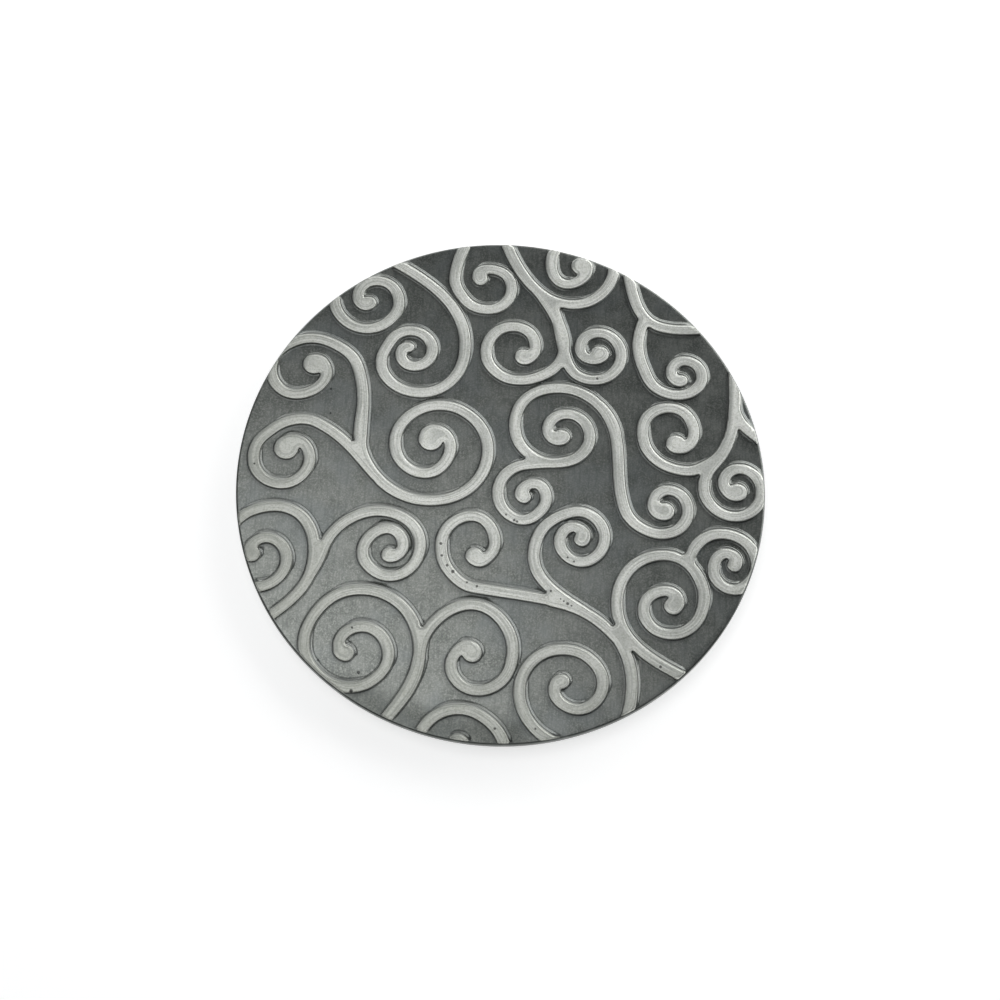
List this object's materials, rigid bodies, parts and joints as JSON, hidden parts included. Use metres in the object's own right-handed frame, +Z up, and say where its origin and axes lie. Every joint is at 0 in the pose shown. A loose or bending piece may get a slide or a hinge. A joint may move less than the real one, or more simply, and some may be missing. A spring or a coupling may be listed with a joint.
{
  "type": "trivet",
  "caption": "Round cast metal trivet: flat dark disc with bright raised scrollwork cut off at its rim, standing low on push-in rubber feet to keep hot dishes off the table.",
  "frame": {"origin": "on the table under the middle of the plate", "axes": "+Z up through the plate, +Y towards the back edge, which is the upper edge in the picture, and +X to the right"},
  "size_m": [0.2, 0.2, 0.0105],
  "materials": {
    "antiqued_ground": "dark antiqued casting skin, soft sheen",
    "polished_crests": "hand-brushed satin",
    "foot_rubber": "matt moulded"
  },
  "bodies": {
    "root": {"cast_plate": "antiqued_ground", "scrollwork": "polished_crests", "foot_front_left": "foot_rubber", "foot_front_right": "foot_rubber", "foot_back_left": "foot_rubber", "foot_back_right": "foot_rubber"}
  },
  "joints": []
}
